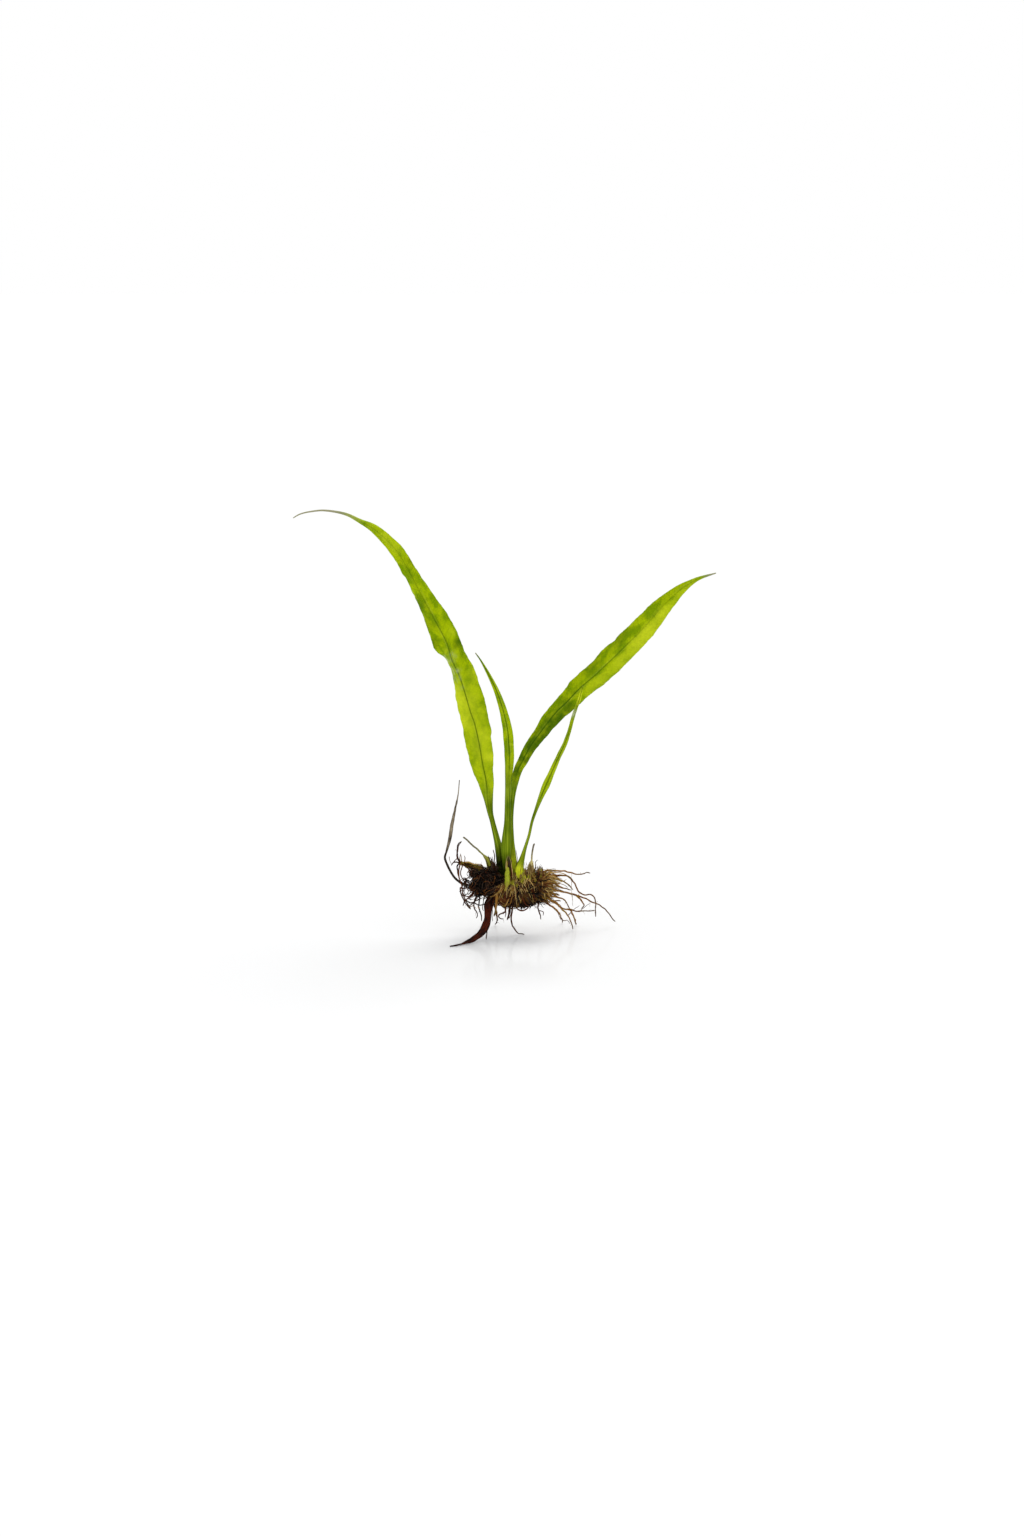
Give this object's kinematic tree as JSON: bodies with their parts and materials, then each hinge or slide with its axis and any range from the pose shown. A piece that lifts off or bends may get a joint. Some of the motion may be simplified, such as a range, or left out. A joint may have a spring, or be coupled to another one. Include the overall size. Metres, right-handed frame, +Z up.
{
  "type": "java fern plant",
  "caption": "Rooted java fern with narrow ribbed leaves rising from a creeping rhizome, old stalks, a hanging dead leaf and wiry roots it stands on.",
  "frame": {"origin": "on the ground under the middle of the plant's bounding box", "axes": "+Z up along the upright leaves, +X to the right towards the rhizome's growing end, +Y to the back, away from the hanging dead leaf"},
  "size_m": [0.1476, 0.0383, 0.1501],
  "materials": {
    "leaf": "moist green leaf, satin, slightly translucent",
    "withered_leaf": "dry grey-brown leaf, matt",
    "dead_leaf": "wet red-brown dead leaf, satin",
    "old_stalk": "dry yellow-brown leaf stalk, matt",
    "rhizome": "scaly brown rhizome, matt",
    "root": "wiry brown root, satin",
    "root_mat": "black matted roots, matt"
  },
  "bodies": {
    "root": {"leaf_centre": "leaf", "leaf_dead": "dead_leaf", "leaf_left": "leaf", "leaf_right": "leaf", "leaf_small": "leaf", "leaf_withered": "withered_leaf", "rhizome": "rhizome", "root_back_01": "root", "root_back_02": "root", "root_back_03": "root", "root_back_04": "root", "root_back_05": "root", "root_left_01": "root", "root_left_02": "root", "root_left_03": "root", "root_left_04": "root", "root_left_05": "root", "root_left_06": "root", "root_left_07": "root", "root_mat": "root_mat", "root_right_01": "root", "root_right_02": "root", "root_right_03": "root", "root_right_04": "root", "root_right_05": "root", "root_right_06": "root", "root_right_07": "root", "root_right_08": "root", "root_right_09": "root", "root_right_10": "root", "root_right_11": "root", "root_right_12": "root", "root_right_13": "root", "root_under_01": "root", "root_under_02": "root", "root_under_03": "root", "root_under_04": "root", "root_under_05": "root", "root_under_06": "root", "root_under_07": "root", "shoot_new": "leaf", "stalk_old_left": "old_stalk", "stalk_old_right": "old_stalk"}
  },
  "joints": []
}
